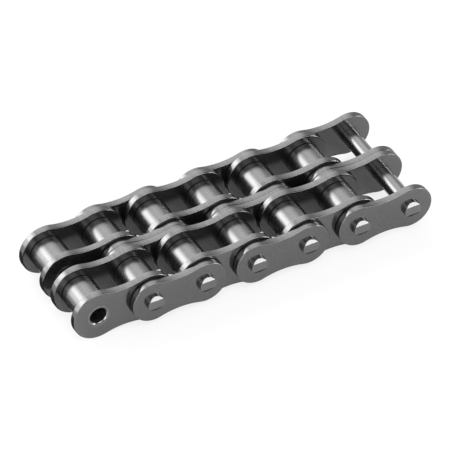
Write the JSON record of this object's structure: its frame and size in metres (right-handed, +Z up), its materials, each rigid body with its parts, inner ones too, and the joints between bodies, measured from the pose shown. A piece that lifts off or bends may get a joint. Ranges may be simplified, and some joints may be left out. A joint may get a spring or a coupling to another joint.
{
  "type": "double strand roller chain",
  "caption": "Short open length of double strand roller chain: bushed inner links with rollers, joined by outer links with riveted pins through both strands.",
  "frame": {"origin": "on the axis of the open bush bore, midway between the two strands", "axes": "+X along the chain to the end pin, Y along the pins with the front strand at -Y, +Z up"},
  "size_m": [0.1748, 0.063, 0.024],
  "materials": {
    "plate_steel": "punched, tumbled and tempered mid grey, satin",
    "pin_steel": "ground and polished, riveted ends",
    "bush_steel": "turned, smooth",
    "roller_steel": "ground bright, fine turning marks round the axis"
  },
  "bodies": {
    "front_inner_link_1": {"front_outboard_inner_plate_1": "plate_steel", "front_inboard_inner_plate_1": "plate_steel", "front_bush_0": "bush_steel", "front_bush_1": "bush_steel"},
    "rear_inner_link_1": {"rear_outboard_inner_plate_1": "plate_steel", "rear_inboard_inner_plate_1": "plate_steel", "rear_bush_0": "bush_steel", "rear_bush_1": "bush_steel"},
    "outer_link_1": {"front_outer_plate_1": "plate_steel", "front_middle_plate_1": "plate_steel", "rear_middle_plate_1": "plate_steel", "rear_outer_plate_1": "plate_steel", "pin_1": "pin_steel", "pin_2": "pin_steel"},
    "front_inner_link_2": {"front_outboard_inner_plate_2": "plate_steel", "front_inboard_inner_plate_2": "plate_steel", "front_bush_2": "bush_steel", "front_bush_3": "bush_steel"},
    "rear_inner_link_2": {"rear_outboard_inner_plate_2": "plate_steel", "rear_inboard_inner_plate_2": "plate_steel", "rear_bush_2": "bush_steel", "rear_bush_3": "bush_steel"},
    "outer_link_2": {"front_outer_plate_2": "plate_steel", "front_middle_plate_2": "plate_steel", "rear_middle_plate_2": "plate_steel", "rear_outer_plate_2": "plate_steel", "pin_3": "pin_steel", "pin_4": "pin_steel"},
    "front_inner_link_3": {"front_outboard_inner_plate_3": "plate_steel", "front_inboard_inner_plate_3": "plate_steel", "front_bush_4": "bush_steel", "front_bush_5": "bush_steel"},
    "rear_inner_link_3": {"rear_outboard_inner_plate_3": "plate_steel", "rear_inboard_inner_plate_3": "plate_steel", "rear_bush_4": "bush_steel", "rear_bush_5": "bush_steel"},
    "outer_link_3": {"front_outer_plate_3": "plate_steel", "front_middle_plate_3": "plate_steel", "rear_middle_plate_3": "plate_steel", "rear_outer_plate_3": "plate_steel", "pin_5": "pin_steel", "pin_6": "pin_steel"},
    "front_roller_0": {"front_roller_0": "roller_steel"},
    "rear_roller_0": {"rear_roller_0": "roller_steel"},
    "front_roller_1": {"front_roller_1": "roller_steel"},
    "rear_roller_1": {"rear_roller_1": "roller_steel"},
    "front_roller_2": {"front_roller_2": "roller_steel"},
    "rear_roller_2": {"rear_roller_2": "roller_steel"},
    "front_roller_3": {"front_roller_3": "roller_steel"},
    "rear_roller_3": {"rear_roller_3": "roller_steel"},
    "front_roller_4": {"front_roller_4": "roller_steel"},
    "rear_roller_4": {"rear_roller_4": "roller_steel"},
    "front_roller_5": {"front_roller_5": "roller_steel"},
    "rear_roller_5": {"rear_roller_5": "roller_steel"}
  },
  "joints": [
    {"name": "outer_link_1_turn", "type": "hinge", "parent": "front_inner_link_1", "child": "outer_link_1", "pos_m": [0.0254, 0, 0], "axis": [0, 1, 0], "range_deg": [-45, 45]},
    {"name": "rear_inner_link_1_turn", "type": "hinge", "parent": "outer_link_1", "child": "rear_inner_link_1", "pos_m": [0.0254, 0.01465, 0], "axis": [0, 1, 0], "range_deg": [-45, 45]},
    {"name": "front_inner_link_2_turn", "type": "hinge", "parent": "outer_link_1", "child": "front_inner_link_2", "pos_m": [0.0508, -0.01465, 0], "axis": [0, 1, 0], "range_deg": [-45, 45]},
    {"name": "rear_inner_link_2_turn", "type": "hinge", "parent": "outer_link_1", "child": "rear_inner_link_2", "pos_m": [0.0508, 0.01465, 0], "axis": [0, 1, 0], "range_deg": [-45, 45]},
    {"name": "outer_link_2_turn", "type": "hinge", "parent": "front_inner_link_2", "child": "outer_link_2", "pos_m": [0.0762, 0, 0], "axis": [0, 1, 0], "range_deg": [-45, 45]},
    {"name": "front_inner_link_3_turn", "type": "hinge", "parent": "outer_link_2", "child": "front_inner_link_3", "pos_m": [0.1016, -0.01465, 0], "axis": [0, 1, 0], "range_deg": [-45, 45]},
    {"name": "rear_inner_link_3_turn", "type": "hinge", "parent": "outer_link_2", "child": "rear_inner_link_3", "pos_m": [0.1016, 0.01465, 0], "axis": [0, 1, 0], "range_deg": [-45, 45]},
    {"name": "outer_link_3_turn", "type": "hinge", "parent": "front_inner_link_3", "child": "outer_link_3", "pos_m": [0.127, 0, 0], "axis": [0, 1, 0], "range_deg": [-45, 45]},
    {"name": "front_roller_0_spin", "type": "hinge", "parent": "front_inner_link_1", "child": "front_roller_0", "pos_m": [0, -0.01465, 0], "axis": [0, 1, 0], "continuous": true},
    {"name": "rear_roller_0_spin", "type": "hinge", "parent": "rear_inner_link_1", "child": "rear_roller_0", "pos_m": [0, 0.01465, 0], "axis": [0, 1, 0], "continuous": true},
    {"name": "front_roller_1_spin", "type": "hinge", "parent": "front_inner_link_1", "child": "front_roller_1", "pos_m": [0.0254, -0.01465, 0], "axis": [0, 1, 0], "continuous": true},
    {"name": "rear_roller_1_spin", "type": "hinge", "parent": "rear_inner_link_1", "child": "rear_roller_1", "pos_m": [0.0254, 0.01465, 0], "axis": [0, 1, 0], "continuous": true},
    {"name": "front_roller_2_spin", "type": "hinge", "parent": "front_inner_link_2", "child": "front_roller_2", "pos_m": [0.0508, -0.01465, 0], "axis": [0, 1, 0], "continuous": true},
    {"name": "rear_roller_2_spin", "type": "hinge", "parent": "rear_inner_link_2", "child": "rear_roller_2", "pos_m": [0.0508, 0.01465, 0], "axis": [0, 1, 0], "continuous": true},
    {"name": "front_roller_3_spin", "type": "hinge", "parent": "front_inner_link_2", "child": "front_roller_3", "pos_m": [0.0762, -0.01465, 0], "axis": [0, 1, 0], "continuous": true},
    {"name": "rear_roller_3_spin", "type": "hinge", "parent": "rear_inner_link_2", "child": "rear_roller_3", "pos_m": [0.0762, 0.01465, 0], "axis": [0, 1, 0], "continuous": true},
    {"name": "front_roller_4_spin", "type": "hinge", "parent": "front_inner_link_3", "child": "front_roller_4", "pos_m": [0.1016, -0.01465, 0], "axis": [0, 1, 0], "continuous": true},
    {"name": "rear_roller_4_spin", "type": "hinge", "parent": "rear_inner_link_3", "child": "rear_roller_4", "pos_m": [0.1016, 0.01465, 0], "axis": [0, 1, 0], "continuous": true},
    {"name": "front_roller_5_spin", "type": "hinge", "parent": "front_inner_link_3", "child": "front_roller_5", "pos_m": [0.127, -0.01465, 0], "axis": [0, 1, 0], "continuous": true},
    {"name": "rear_roller_5_spin", "type": "hinge", "parent": "rear_inner_link_3", "child": "rear_roller_5", "pos_m": [0.127, 0.01465, 0], "axis": [0, 1, 0], "continuous": true}
  ],
  "couplings": [
    {"joint": "rear_inner_link_2_turn", "follows": "front_inner_link_2_turn", "ratio": 1},
    {"joint": "rear_inner_link_3_turn", "follows": "front_inner_link_3_turn", "ratio": 1}
  ]
}
